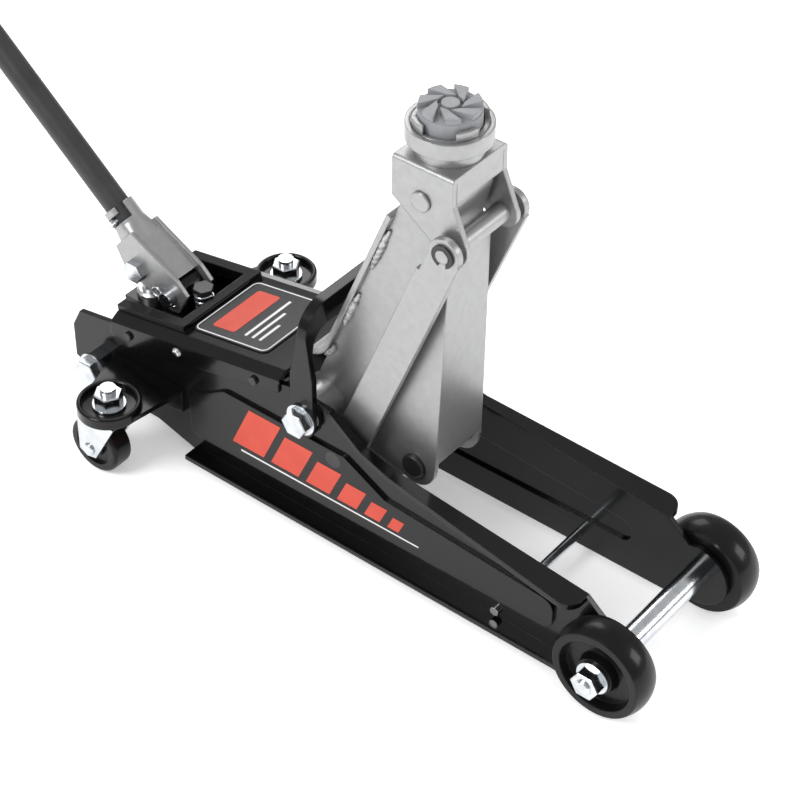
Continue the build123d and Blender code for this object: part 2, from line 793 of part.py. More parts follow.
# Saddle bracket, its cross rod and clips, and the saddle
roof_z = saddle_pin_z + bracket_roof
with BuildPart() as saddle_bracket:
    with BuildSketch(near_plane(0)):
        Polygon(
            (saddle_x - bracket_rear, roof_z + cheek_thickness),
            (saddle_x - bracket_rear, saddle_pin_z - 5),
            (rod_x - 8, rod_z - 9),
            (rod_x + 10, rod_z + 7),
            (saddle_x + bracket_front, saddle_pin_z + flap_bottom),
            (saddle_x + bracket_front, roof_z + cheek_thickness),
            align=None,
        )
        with Locations((rod_x, rod_z)):
            Circle(rod_boss_radius)
    extrude(amount=cheek_outer_y, both=True)
    with BuildSketch(near_plane(0)):
        with Locations((saddle_x, roof_z - 60)):
            Rectangle(160, 120)
    extrude(amount=cheek_inner_y, both=True, mode=Mode.SUBTRACT)
    with BuildSketch(near_plane(0)):
        Polygon(
            (saddle_x + bracket_front - cheek_thickness, roof_z),
            (saddle_x + bracket_front, roof_z),
            (saddle_x + bracket_front, saddle_pin_z + flap_bottom),
            (saddle_x + bracket_front - cheek_thickness, saddle_pin_z + flap_bottom),
            align=None,
        )
    extrude(amount=cheek_inner_y - flap_seam, both=True)
    roof_edges = saddle_bracket.edges().filter_by(Axis.X).group_by(Axis.Z)[-1]
    fillet(roof_edges, 3)
    with BuildSketch(near_plane(-cheek_outer_y)):
        with Locations((saddle_x, saddle_pin_z)):
            Circle(saddle_pin_radius + turn_clearance)
        with Locations((rod_x, rod_z)):
            Circle(link_rod_radius)
    extrude(amount=2 * cheek_outer_y, mode=Mode.SUBTRACT)
    with BuildSketch(Plane.XY.offset(roof_z)):
        with Locations((saddle_x, 0)):
            Circle(stub_radius + turn_clearance)
    extrude(amount=cheek_thickness, mode=Mode.SUBTRACT)
save(saddle_bracket, "saddle_bracket")

rod_end_y = link_outer_y + side_gap + 1.6
with BuildPart() as link_rod:
    with BuildSketch(near_plane(-rod_end_y, rod_x, rod_z)):
        Circle(link_rod_radius)
    extrude(amount=2 * rod_end_y)
    for side in (-1, 1):
        with BuildSketch(near_plane(side * cheek_outer_y, rod_x, rod_z)):
            Circle(7.5)
        extrude(amount=side * (link_inner_y - side_gap - cheek_outer_y))
    with BuildSketch(near_plane(-cheek_inner_y, rod_x, rod_z)):
        Circle(link_rod_middle)
    extrude(amount=2 * cheek_inner_y)
save(link_rod, "link_rod")

with BuildPart() as rod_clips:
    with BuildSketch(near_plane(link_outer_y + side_gap, rod_x, rod_z)):
        Circle(8.5)
        Circle(link_rod_radius, mode=Mode.SUBTRACT)
        with Locations((0, -6)):
            Rectangle(6, 8, mode=Mode.SUBTRACT)
    extrude(amount=1.2)
    add(far_copy(rod_clips.part))
save(rod_clips, "rod_clips")

collar_base_z = roof_z + cheek_thickness
with BuildPart() as saddle_collar:
    with BuildSketch(Plane.XZ):
        with BuildLine():
            Polyline(
                (saddle_x + stub_radius + turn_clearance, collar_base_z),
                (saddle_x + 24, collar_base_z),
                (saddle_x + 24, collar_base_z + 7),
                (saddle_x + collar_radius, collar_base_z + 9.5),
                (saddle_x + collar_radius, collar_base_z + collar_height),
                (saddle_x + collar_bore, collar_base_z + collar_height),
                (saddle_x + collar_bore, collar_base_z + collar_floor),
                (saddle_x + stub_radius + turn_clearance, collar_base_z + collar_floor),
                close=True,
            )
        make_face()
    revolve(axis=Axis((saddle_x, 0, 0), (0, 0, 1)))
save(saddle_collar, "saddle_collar")

cup_base_z = collar_base_z + collar_floor + side_gap
lug_top_z = collar_base_z + collar_height + 6
with BuildPart() as saddle_cup:
    with BuildSketch(Plane.XY.offset(cup_base_z)):
        with Locations((saddle_x, 0)):
            Circle(cup_radius)
    extrude(amount=lug_top_z - cup_base_z)
    with BuildSketch(Plane.XY.offset(cup_base_z + 4)):
        with Locations((saddle_x, 0)):
            Circle(pad_radius + 1)
    extrude(amount=lug_top_z, mode=Mode.SUBTRACT)
    with BuildSketch(Plane.XY.offset(lug_top_z - 6)):
        with Locations((saddle_x, 0)):
            with Locations(Rotation(0, 0, 20)):
                Rectangle(80, 22)
            with Locations(Rotation(0, 0, 110)):
                Rectangle(80, 22)
    extrude(amount=20, mode=Mode.SUBTRACT)
    with BuildSketch(Plane.XY.offset(roof_z)):
        with Locations((saddle_x, 0)):
            Circle(stub_radius)
    extrude(amount=cup_base_z - roof_z)
save(saddle_cup, "saddle_cup")

pad_floor_z = cup_base_z + 4
pad_top_z = lug_top_z + pad_rise
vane_inner = pad_radius * 0.42
vane_outer = pad_radius - 0.5


def vane_corner(radius, angle):
    return (radius * math.cos(math.radians(angle)), radius * math.sin(math.radians(angle)))


with BuildPart() as saddle_pad:
    with BuildSketch(Plane.XY.offset(pad_floor_z)):
        with Locations((saddle_x, 0)):
            Circle(pad_radius + 1)
    extrude(amount=1)
    with BuildSketch(Plane.XY.offset(pad_floor_z)):
        with Locations((saddle_x, 0)):
            Circle(pad_radius)
    extrude(amount=pad_top_z - pad_floor_z)
    with BuildSketch(Plane.XY.offset(pad_top_z)):
        with Locations((saddle_x, 0)):
            Circle(6)
            with PolarLocations(0, vane_count):
                Polygon(
                    vane_corner(vane_inner, 0),
                    vane_corner(vane_outer, 42),
                    vane_corner(vane_outer, 56),
                    vane_corner(vane_outer, 70),
                    vane_corner(vane_inner, 40),
                    align=None,
                )
    extrude(amount=vane_height)
save(saddle_pad, "saddle_pad")

# Hydraulic unit between the plates
with BuildPart() as pump_block:
    with BuildSketch(Plane.XY.offset(block_bottom_z)):
        with Locations((from_axle((block_front_back + block_rear_back) / 2), 0)):
            Rectangle(block_rear_back - block_front_back, 2 * plate_inner_y)
    extrude(amount=block_top_z - block_bottom_z)
    with BuildSketch(Plane.XY.offset(block_step_z)):
        with Locations((from_axle((block_step_back + block_rear_back) / 2), 0)):
            Rectangle(block_rear_back - block_step_back, 2 * plate_inner_y)
        with Locations((from_axle((block_step_back + tower_rear_back) / 2), 0)):
            Rectangle(tower_rear_back - block_step_back, 2 * tower_half_width, mode=Mode.SUBTRACT)
    extrude(amount=block_top_z - block_step_z, mode=Mode.SUBTRACT)
    with BuildSketch(near_plane(-lug_half_width)):
        Polygon(
            (from_axle(socket_pivot_back - lug_half_width), block_top_z),
            (from_axle(socket_pivot_back - lug_half_width), socket_pivot_z),
            (from_axle(socket_pivot_back + lug_half_width), socket_pivot_z),
            (from_axle(socket_pivot_back + lug_half_width), block_top_z),
            align=None,
        )
        with Locations((from_axle(socket_pivot_back), socket_pivot_z)):
            Circle(lug_half_width)
    extrude(amount=2 * lug_half_width)
    with BuildSketch(Plane(origin=(from_axle(block_front_back), 0, ram_axis_z), z_dir=(-1, 0, 0))):
        Circle(cylinder_radius)
    extrude(amount=cylinder_rear_back - block_front_back, mode=Mode.SUBTRACT)
    with BuildSketch(near_plane(-40, from_axle(socket_pivot_back), socket_pivot_z)):
        Circle(socket_pin_radius + turn_clearance)
    extrude(amount=80, mode=Mode.SUBTRACT)
    with BuildSketch(Plane.XY.offset(block_top_z)):
        with Locations((from_axle(plunger_back), 0)):
            Circle(pump_cylinder_radius)
    extrude(amount=-pump_seat_depth, mode=Mode.SUBTRACT)
    with BuildSketch(Plane.XY.offset(block_top_z)):
        with Locations((from_axle(plunger_back), 0)):
            Circle(plunger_radius + turn_clearance)
    extrude(amount=-pump_bore_depth, mode=Mode.SUBTRACT)
    with BuildSketch(Plane.XY.offset(block_top_z)):
        with Locations((from_axle(stem_back), 0)):
            Circle(5 + turn_clearance)
    extrude(amount=-10, mode=Mode.SUBTRACT)
save(pump_block, "pump_block")

with BuildPart() as oil_tank:
    with BuildSketch(Plane(origin=(from_axle(block_front_back), 0, ram_axis_z), z_dir=(1, 0, 0))):
        Circle(tank_radius)
        Circle(tank_radius - tank_wall, mode=Mode.SUBTRACT)
    extrude(amount=block_front_back - tank_front_back)
    with BuildSketch(Plane(origin=(from_axle(tank_front_back), 0, ram_axis_z), z_dir=(1, 0, 0))):
        Circle(tank_radius)
        Circle(cylinder_radius, mode=Mode.SUBTRACT)
    extrude(amount=6)
    fillet(oil_tank.edges().group_by(Axis.X)[-1].sort_by(SortBy.RADIUS)[-1], 3)
save(oil_tank, "oil_tank")

with BuildPart() as ram_cylinder:
    with BuildSketch(Plane(origin=(from_axle(cylinder_rear_back), 0, ram_axis_z), z_dir=(1, 0, 0))):
        Circle(cylinder_radius)
        Circle(bore_radius, mode=Mode.SUBTRACT)
    extrude(amount=cylinder_rear_back - cylinder_front_back)
save(ram_cylinder, "ram_cylinder")

with BuildPart() as gland_nut:
    with BuildSketch(Plane(origin=(from_axle(cylinder_front_back + 12), 0, ram_axis_z), z_dir=(1, 0, 0))):
        Circle(bore_radius)
        Circle(ram_radius + turn_clearance, mode=Mode.SUBTRACT)
    extrude(amount=12)
save(gland_nut, "gland_nut")

head_face_x = roller_x - roller_radius - side_gap
ram_rear_x = from_axle(367)
with BuildPart() as ram_rod:
    with BuildSketch(Plane(origin=(ram_rear_x, 0, ram_axis_z), z_dir=(1, 0, 0))):
        Circle(ram_radius)
    extrude(amount=head_face_x - ram_head_depth - ram_rear_x)
    with BuildSketch(Plane(origin=(ram_rear_x, 0, ram_axis_z), z_dir=(1, 0, 0))):
        Circle(bore_radius - turn_clearance)
    extrude(amount=12)
save(ram_rod, "ram_rod")

with BuildPart() as ram_head:
    head_plane = Plane(origin=(head_face_x - ram_head_depth, 0, ram_axis_z), x_dir=(0, 1, 0), z_dir=(1, 0, 0))
    with BuildSketch(head_plane):
        RectangleRounded(ram_head_width, ram_head_height, 5)
    extrude(amount=ram_head_depth)
save(ram_head, "ram_head")

ram_link_length = math.hypot(ram_pin_x - roller_x, ram_pin_z - roller_z)
ram_link_dir = ((ram_pin_x - roller_x) / ram_link_length, (ram_pin_z - roller_z) / ram_link_length)
ram_link_plane = Plane(
    origin=(roller_x, -ram_link_inner_y, roller_z),
    x_dir=(ram_link_dir[0], 0, ram_link_dir[1]),
    z_dir=(0, -1, 0),
)
with BuildPart() as ram_links:
    with BuildSketch(ram_link_plane):
        with Locations((ram_link_length / 2, 0)):
            Rectangle(ram_link_length, 20)
        Circle(10)
        with Locations((ram_link_length, 0)):
            Circle(12)
        Circle(5, mode=Mode.SUBTRACT)
        with Locations((ram_link_length, 0)):
            Circle(ram_pin_radius + turn_clearance, mode=Mode.SUBTRACT)
    extrude(amount=ram_link_thickness)
    add(far_copy(ram_links.part))
save(ram_links, "ram_links")

with BuildPart() as push_roller:
    with BuildSketch(near_plane(-ram_link_inner_y, roller_x, roller_z)):
        Circle(roller_radius)
    extrude(amount=2 * ram_link_inner_y)
    with BuildSketch(near_plane(-ram_link_inner_y - ram_link_thickness, roller_x, roller_z)):
        Circle(5)
    extrude(amount=2 * (ram_link_inner_y + ram_link_thickness))
save(push_roller, "push_roller")

cylinder_top_z = 90.0
with BuildPart() as pump_cylinder:
    with BuildSketch(Plane.XY.offset(block_top_z - pump_seat_depth)):
        with Locations((from_axle(plunger_back), 0)):
            Circle(pump_cylinder_radius)
            Circle(plunger_radius + turn_clearance, mode=Mode.SUBTRACT)
    extrude(amount=cylinder_top_z - block_top_z + pump_seat_depth)
    chamfer(pump_cylinder.edges().group_by(Axis.Z)[-1].sort_by(SortBy.RADIUS)[-1], 1.5)
save(pump_cylinder, "pump_cylinder")

lobe_roller_radius = 9.5
plunger_top_z = lobe_z - lobe_roller_radius - 1.5
with BuildPart() as plunger:
    with BuildSketch(Plane.XY.offset(plunger_bottom_z)):
        with Locations((from_axle(plunger_back), 0)):
            Circle(plunger_radius)
    extrude(amount=plunger_top_z - plunger_bottom_z)
    with BuildSketch(Plane.XY.offset(plunger_top_z - 4)):
        with Locations((from_axle(plunger_back), 0)):
            Circle(11)
    extrude(amount=4)
save(plunger, "plunger")

stem_x = from_axle(stem_back)
with BuildPart() as release_stem:
    with BuildSketch(Plane.XY.offset(block_top_z - 9)):
        with Locations((stem_x, 0)):
            Circle(5)
    extrude(amount=41)
    with BuildSketch(Plane.XY.offset(block_top_z + side_gap)):
        with Locations((stem_x, 0)):
            Circle(9)
    extrude(amount=3.6)
    with BuildSketch(Plane.XY.offset(block_top_z + 28)):
        with Locations((stem_x, 0)):
            RegularPolygon(stem_flats / 2, 6, major_radius=False)
    extrude(amount=4)
save(release_stem, "release_stem")

with BuildPart() as release_spring:
    with BuildLine():
        coil = Helix(4.4, 22, 7.2, center=(stem_x, 0, block_top_z + 5))
    with BuildSketch(Plane(origin=coil @ 0, z_dir=coil % 0)):
        Circle(0.9)
    sweep()
save(release_spring, "release_spring")


def slot_sector(start, end):
    """Sector around the handle axis that cuts the bayonet slot."""
    corners = [(0, 0)]
    for step in range(4):
        angle = math.radians(start + (end - start) * step / 3)
        corners.append((40 * math.cos(angle), 40 * math.sin(angle)))
    return Polygon(*corners, align=None)


# Handle socket with its pivot pin and roller bolt
with BuildPart() as handle_socket:
    ear_top = handle_plane(30)
    rear_low = ear_top.from_local_coords((-handle_radius - socket_wall, 0, 0))
    rear_high = ear_top.from_local_coords((handle_radius + socket_wall, 0, 0))
    with BuildSketch(near_plane(-ear_outer_y)):
        Polygon(
            (from_axle(socket_pivot_back - 7), socket_pivot_z + 17),
            (from_axle(socket_pivot_back - 17), socket_pivot_z + 7),
            (from_axle(socket_pivot_back - 8), socket_pivot_z - 12),
            (from_axle(socket_pivot_back - 1), socket_pivot_z - 14),
            (from_axle(lobe_back + 12), lobe_z - 5),
            (rear_low.X, rear_low.Z),
            (rear_high.X, rear_high.Z),
            align=None,
        )
    extrude(amount=2 * ear_outer_y)
    with BuildSketch(near_plane(-ear_inner_y)):
        with Locations((from_axle(lobe_back), lobe_z)):
            Rectangle(160, 160)
    extrude(amount=2 * ear_inner_y, mode=Mode.SUBTRACT)
    with BuildSketch(handle_profile_plane):
        Polygon(
            (socket_floor_at + 5, -handle_radius - socket_wall),
            (-18, -handle_radius - 9.6),
            (-18, -handle_radius - 9.6 + socket_wall),
            (socket_floor_at + 5, -handle_radius),
            align=None,
        )
    extrude(amount=ear_outer_y, both=True)
    with BuildSketch(handle_plane(socket_floor_at)):
        RectangleRounded(2 * (handle_radius + socket_wall) + 1, 2 * ear_outer_y, 5)
    with BuildSketch(handle_plane(socket_neck_at)):
        Circle(handle_radius + socket_wall)
    loft()
    with BuildSketch(handle_plane(socket_neck_at)):
        Circle(handle_radius + socket_wall)
    extrude(amount=socket_top_at - socket_neck_at)
    with BuildSketch(handle_plane(socket_floor_at + 5)):
        Circle(handle_radius + turn_clearance)
    extrude(amount=socket_top_at, mode=Mode.SUBTRACT)
    with BuildSketch(handle_plane(socket_floor_at)):
        Circle(handle_radius - 3)
    extrude(amount=10, mode=Mode.SUBTRACT)
    with BuildSketch(handle_plane(bayonet_at - bayonet_radius - 0.5)):
        slot_sector(-108, -12)
    extrude(amount=2 * bayonet_radius + 1, mode=Mode.SUBTRACT)
    with BuildSketch(handle_plane(bayonet_at)):
        slot_sector(-48, -12)
    extrude(amount=socket_top_at, mode=Mode.SUBTRACT)
    with BuildSketch(near_plane(0, 0, 0)):
        with Locations((from_axle(socket_pivot_back), socket_pivot_z)):
            Circle(socket_pin_radius)
        with Locations((from_axle(lobe_back), lobe_z)):
            Circle(5)
    extrude(amount=60, both=True, mode=Mode.SUBTRACT)
save(handle_socket, "handle_socket")

with BuildPart() as socket_pin:
    with BuildSketch(near_plane(-ear_outer_y - 3, from_axle(socket_pivot_back), socket_pivot_z)):
        Circle(socket_pin_radius)
    extrude(amount=2 * ear_outer_y + 10)
    with BuildSketch(near_plane(-ear_outer_y, from_axle(socket_pivot_back), socket_pivot_z)):
        Circle(9)
    extrude(amount=-3)
save(socket_pin, "socket_pin")

with BuildPart() as lobe_bolt:
    with BuildSketch(near_plane(-ear_outer_y, from_axle(lobe_back), lobe_z)):
        Circle(5)
    extrude(amount=2 * ear_outer_y)
    for side in (-1, 1):
        with BuildSketch(near_plane(side * ear_outer_y, from_axle(lobe_back), lobe_z)):
            RegularPolygon(8, 6, major_radius=False)
        extrude(amount=side * 6)
save(lobe_bolt, "lobe_bolt")

with BuildPart() as lobe_roller:
    with BuildSketch(near_plane(-ear_inner_y, from_axle(lobe_back), lobe_z)):
        Circle(lobe_roller_radius)
        Circle(5, mode=Mode.SUBTRACT)
    extrude(amount=2 * ear_inner_y)
save(lobe_roller, "lobe_roller")

# Two-piece handle, its grip and the bayonet pin in the socket slot
handle_foot_at = socket_floor_at + 5 + side_gap
with BuildPart() as handle_lower:
    with BuildSketch(handle_plane(handle_foot_at)):
        Circle(handle_radius)
        Circle(handle_radius - handle_wall, mode=Mode.SUBTRACT)
    extrude(amount=joint_at - handle_foot_at)
    with BuildSketch(near_plane(0, handle_plane(bayonet_at).origin.X, handle_plane(bayonet_at).origin.Z)):
        Circle(bayonet_radius)
    extrude(amount=30, mode=Mode.SUBTRACT)
save(handle_lower, "handle_lower")

with BuildPart() as handle_upper:
    with BuildSketch(handle_plane(joint_at)):
        Circle(handle_radius)
    extrude(amount=handle_length - joint_at - 4)
    with BuildSketch(handle_plane(joint_at - 40)):
        Circle(handle_radius - handle_wall)
    extrude(amount=40)
    with BuildSketch(handle_plane(joint_at - 40)):
        Circle(handle_radius - 2 * handle_wall)
    extrude(amount=handle_length, mode=Mode.SUBTRACT)
save(handle_upper, "handle_upper")

with BuildPart() as grip:
    with BuildSketch(handle_plane(handle_length - grip_length)):
        Circle(grip_radius)
    extrude(amount=grip_length)
    with BuildSketch(handle_plane(handle_length - grip_length)):
        Circle(handle_radius)
    extrude(amount=grip_length - grip_end_wall, mode=Mode.SUBTRACT)
save(grip, "grip")

with BuildPart() as bayonet_pin:
    bayonet_origin = handle_plane(bayonet_at).origin
    with BuildSketch(near_plane(handle_radius - handle_wall, bayonet_origin.X, bayonet_origin.Z)):
        Circle(bayonet_radius)
    extrude(amount=8)
save(bayonet_pin, "bayonet_pin")

# Top cover, its label plate and the screws in the plates
cover_slope = math.atan2(cover_front_z - cover_rear_z, cover_rear_back - cover_front_back)
cover_length = math.hypot(cover_front_z - cover_rear_z, cover_rear_back - cover_front_back)
cover_plane = Plane(
    origin=(from_axle(cover_rear_back), 0, cover_rear_z),
    x_dir=(math.cos(cover_slope), 0, math.sin(cover_slope)),
    z_dir=(-math.sin(cover_slope), 0, math.cos(cover_slope)),
)
notch_along = (cover_rear_back - notch_front_back) / math.cos(cover_slope)
with BuildPart() as top_cover:
    with BuildSketch(Plane(origin=cover_plane.origin, x_dir=cover_plane.y_dir, z_dir=cover_plane.x_dir)):
        with BuildLine():
            Polyline(
                (-skirt_outer_y, -cover_side_drop),
                (-cover_half_width, 0),
                (cover_half_width, 0),
                (skirt_outer_y, -cover_side_drop),
                (skirt_outer_y, -cover_side_drop - cover_sheet),
                (cover_half_width, -cover_sheet),
                (-cover_half_width, -cover_sheet),
                (-skirt_outer_y, -cover_side_drop - cover_sheet),
                close=True,
            )
        make_face()
    extrude(amount=cover_length)
    with BuildSketch(cover_plane.offset(-cover_sheet)):
        with Locations((notch_along / 2, 0)):
            Rectangle(notch_along, 2 * notch_half_width)
    extrude(amount=2 * cover_sheet, mode=Mode.SUBTRACT)
    with BuildSketch(cover_plane):
        with Locations(((notch_along + rim_width) / 2, 0)):
            Rectangle(notch_along + rim_width, 2 * (notch_half_width + rim_width))
        with Locations((notch_along / 2, 0)):
            Rectangle(notch_along, 2 * notch_half_width, mode=Mode.SUBTRACT)
    extrude(amount=rim_height)
    with BuildSketch(near_plane(plate_outer_y)):
        Polygon(
            (from_axle(cover_rear_back), cover_rear_z - cover_side_drop - 2),
            (from_axle(cover_rear_back), skirt_rear_z + 8),
            (from_axle(cover_rear_back - 8), skirt_rear_z),
            (from_axle(cover_front_back), skirt_front_z),
            (from_axle(cover_front_back), cover_front_z - cover_side_drop - 2),
            align=None,
        )
    extrude(amount=skirt_sheet)
    with BuildSketch(near_plane(-plate_outer_y)):
        Polygon(
            (from_axle(cover_rear_back), cover_rear_z - cover_side_drop - 2),
            (from_axle(cover_rear_back), skirt_rear_z + 8),
            (from_axle(cover_rear_back - 8), skirt_rear_z),
            (from_axle(cover_front_back), skirt_front_z),
            (from_axle(cover_front_back), cover_front_z - cover_side_drop - 2),
            align=None,
        )
    extrude(amount=-skirt_sheet)
    with BuildSketch(near_plane(-skirt_outer_y)):
        with Locations(*screw_places):
            Circle(screw_radius)
    extrude(amount=2 * skirt_outer_y, mode=Mode.SUBTRACT)
save(top_cover, "top_cover")

with BuildPart() as label_plate:
    with BuildSketch(cover_plane):
        with Locations((notch_along + rim_width + label_gap + label_length / 2, 0)):
            RectangleRounded(label_length, label_width, 6)
    extrude(amount=1)
save(label_plate, "label_plate")

with BuildPart() as frame_screws:
    for place_x, place_z in screw_places:
        with BuildSketch(near_plane(plate_inner_y, place_x, place_z)):
            Circle(screw_radius)
        extrude(amount=skirt_outer_y - plate_inner_y)
        with BuildSketch(near_plane(skirt_outer_y, place_x, place_z)):
            Circle(3.5)
        extrude(amount=2)
    add(far_copy(frame_screws.part))
save(frame_screws, "frame_screws")
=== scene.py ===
import json
import math
import random

import bpy
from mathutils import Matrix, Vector


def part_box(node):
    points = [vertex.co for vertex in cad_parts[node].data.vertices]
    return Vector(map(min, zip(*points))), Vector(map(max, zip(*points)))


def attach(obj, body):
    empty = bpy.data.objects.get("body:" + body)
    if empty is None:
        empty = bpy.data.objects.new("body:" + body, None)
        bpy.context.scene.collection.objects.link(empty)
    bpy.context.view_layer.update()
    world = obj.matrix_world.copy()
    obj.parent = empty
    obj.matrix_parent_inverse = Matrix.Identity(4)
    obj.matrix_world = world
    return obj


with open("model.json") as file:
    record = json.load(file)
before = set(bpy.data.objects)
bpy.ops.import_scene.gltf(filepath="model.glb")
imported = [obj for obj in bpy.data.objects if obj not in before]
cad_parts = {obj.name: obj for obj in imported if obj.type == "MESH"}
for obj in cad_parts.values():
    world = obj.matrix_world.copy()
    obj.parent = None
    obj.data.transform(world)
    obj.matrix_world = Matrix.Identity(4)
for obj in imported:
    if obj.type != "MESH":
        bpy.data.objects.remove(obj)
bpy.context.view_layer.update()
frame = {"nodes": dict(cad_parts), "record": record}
nodes = frame["nodes"]
scene = bpy.context.scene
chance = random.Random(7)
MM = 0.001
SIDES = (("near", -1), ("far", 1))


# Materials
def shader(name):
    mat = bpy.data.materials.new(name)
    mat.use_nodes = True
    tree = mat.node_tree
    return mat, tree, tree.nodes["Principled BSDF"]


def noise(tree, scale, detail=3.0):
    coords = tree.nodes.new("ShaderNodeTexCoord")
    node = tree.nodes.new("ShaderNodeTexNoise")
    node.inputs["Scale"].default_value = scale
    node.inputs["Detail"].default_value = detail
    tree.links.new(coords.outputs["Object"], node.inputs["Vector"])
    return node


def ramp(tree, source, low, high, start=0.3, end=0.7):
    node = tree.nodes.new("ShaderNodeValToRGB")
    node.color_ramp.elements[0].position = start
    node.color_ramp.elements[0].color = low
    node.color_ramp.elements[1].position = end
    node.color_ramp.elements[1].color = high
    tree.links.new(source, node.inputs["Fac"])
    return node


def grey(value):
    return (value, value, value, 1.0)


def surface(name, low, high, rough, scale, fine, bump, edge, metallic=0.0, coat=0.0, specular=0.5):
    """Painted or plated surface: mottled colour, uneven gloss, fine bump and softened edges."""
    mat, tree, bsdf = shader(name)
    broad = noise(tree, scale, 4.0)
    colour = ramp(tree, broad.outputs["Fac"], (*low, 1.0), (*high, 1.0))
    tree.links.new(colour.outputs["Color"], bsdf.inputs["Base Color"])
    grain = noise(tree, fine, 2.0)
    gloss = ramp(tree, grain.outputs["Fac"], grey(rough[0]), grey(rough[1]))
    tree.links.new(gloss.outputs["Color"], bsdf.inputs["Roughness"])
    soft = tree.nodes.new("ShaderNodeBevel")
    soft.samples = 4
    soft.inputs["Radius"].default_value = edge
    lift = tree.nodes.new("ShaderNodeBump")
    lift.inputs["Strength"].default_value = bump
    lift.inputs["Distance"].default_value = 0.0005
    tree.links.new(grain.outputs["Fac"], lift.inputs["Height"])
    tree.links.new(soft.outputs["Normal"], lift.inputs["Normal"])
    tree.links.new(lift.outputs["Normal"], bsdf.inputs["Normal"])
    bsdf.inputs["Metallic"].default_value = metallic
    bsdf.inputs["Coat Weight"].default_value = coat
    bsdf.inputs["Coat Roughness"].default_value = 0.12
    bsdf.inputs["Specular IOR Level"].default_value = specular
    return mat


black_paint = surface(
    "black_paint", low=(0.0022, 0.0022, 0.0024), high=(0.0034, 0.0034, 0.0036), rough=(0.18, 0.24),
    scale=25, fine=400, bump=0.01, edge=0.0018, coat=0.35, specular=0.12,
)
silver_paint = surface(
    "silver_paint", low=(0.335, 0.336, 0.338), high=(0.37, 0.371, 0.373), rough=(0.30, 0.40),
    scale=160, fine=1600, bump=0.08, edge=0.0016, metallic=0.8,
)
zinc = surface(
    "zinc", low=(0.52, 0.55, 0.58), high=(0.68, 0.70, 0.72), rough=(0.12, 0.24),
    scale=120, fine=1500, bump=0.03, edge=0.0007, metallic=1.0,
)
steel = surface(
    "steel", low=(0.50, 0.50, 0.51), high=(0.60, 0.60, 0.61), rough=(0.28, 0.36),
    scale=90, fine=1800, bump=0.03, edge=0.0005, metallic=1.0,
)
oxide = surface(
    "oxide", low=(0.008, 0.008, 0.009), high=(0.016, 0.016, 0.018), rough=(0.3, 0.45),
    scale=90, fine=1500, bump=0.05, edge=0.0007,
)
wheel_black = surface(
    "wheel_black", low=(0.003, 0.003, 0.003), high=(0.005, 0.005, 0.005), rough=(0.29, 0.36),
    scale=70, fine=700, bump=0.02, edge=0.0018, coat=0.2, specular=0.12,
)
handle_grey = surface(
    "handle_grey", low=(0.016, 0.016, 0.017), high=(0.024, 0.024, 0.026), rough=(0.38, 0.5),
    scale=50, fine=1300, bump=0.08, edge=0.0006,
)
rubber = surface(
    "rubber", low=(0.010, 0.010, 0.010), high=(0.020, 0.020, 0.020), rough=(0.65, 0.8),
    scale=90, fine=1100, bump=0.2, edge=0.0008,
)
pad_grey = surface(
    "pad_grey", low=(0.22, 0.224, 0.236), high=(0.26, 0.264, 0.276), rough=(0.5, 0.65),
    scale=150, fine=1200, bump=0.15, edge=0.0010,
)
label_black = surface(
    "label_black", low=(0.010, 0.010, 0.012), high=(0.014, 0.014, 0.016), rough=(0.18, 0.26),
    scale=40, fine=900, bump=0.02, edge=0.0004,
)
red_print = surface(
    "red_print", low=(0.49, 0.034, 0.010), high=(0.54, 0.042, 0.015), rough=(0.3, 0.4),
    scale=60, fine=900, bump=0.02, edge=0.0002,
)
pale_print = surface(
    "pale_print", low=(0.62, 0.62, 0.63), high=(0.70, 0.70, 0.70), rough=(0.3, 0.4),
    scale=60, fine=900, bump=0.02, edge=0.0002,
)
weld_metal = surface(
    "weld_metal", low=(0.40, 0.40, 0.40), high=(0.50, 0.50, 0.50), rough=(0.36, 0.5),
    scale=300, fine=1800, bump=0.2, edge=0.0010, metallic=0.5,
)

slot_look = {
    "black_paint": black_paint,
    "silver_paint": silver_paint,
    "zinc": zinc,
    "machined_steel": steel,
    "black_oxide": oxide,
    "wheel_black": wheel_black,
    "handle_paint": handle_grey,
    "grip_rubber": rubber,
    "pad_grey": pad_grey,
    "label_print": label_black,
}
# The photo shows these two zinc pieces under paint
node_look = {"saddle_pin": silver_paint, "link_rod": silver_paint}
for entry in frame["record"]["subparts"]:
    mesh = nodes[entry["node"]].data
    mesh.materials.clear()
    mesh.materials.append(node_look.get(entry["node"], slot_look[entry["material_slot"]]))


# Places, in mm behind the front axle
def middle(node):
    low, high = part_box(node)
    return (Vector(low) + Vector(high)) / 2


axle_x = middle("front_axle").x / MM


def at(back, y, z):
    return Vector((axle_x - back, y, z)) * MM


# Mesh helpers
def piece(name, verts, faces, mat, body, smooth=False):
    mesh = bpy.data.meshes.new(name)
    mesh.from_pydata([tuple(v) for v in verts], [], faces)
    mesh.materials.append(mat)
    mesh.validate()
    for face in mesh.polygons:
        face.use_smooth = smooth
    obj = bpy.data.objects.new(name, mesh)
    scene.collection.objects.link(obj)
    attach(obj, body)
    return obj


def ring_faces(rings, sides):
    """Faces between neighbouring rings of points."""
    faces = []
    for ring in range(rings - 1):
        low = ring * sides
        high = low + sides
        for step in range(sides):
            after = (step + 1) % sides
            faces.append((low + step, low + after, high + after, high + step))
    return faces


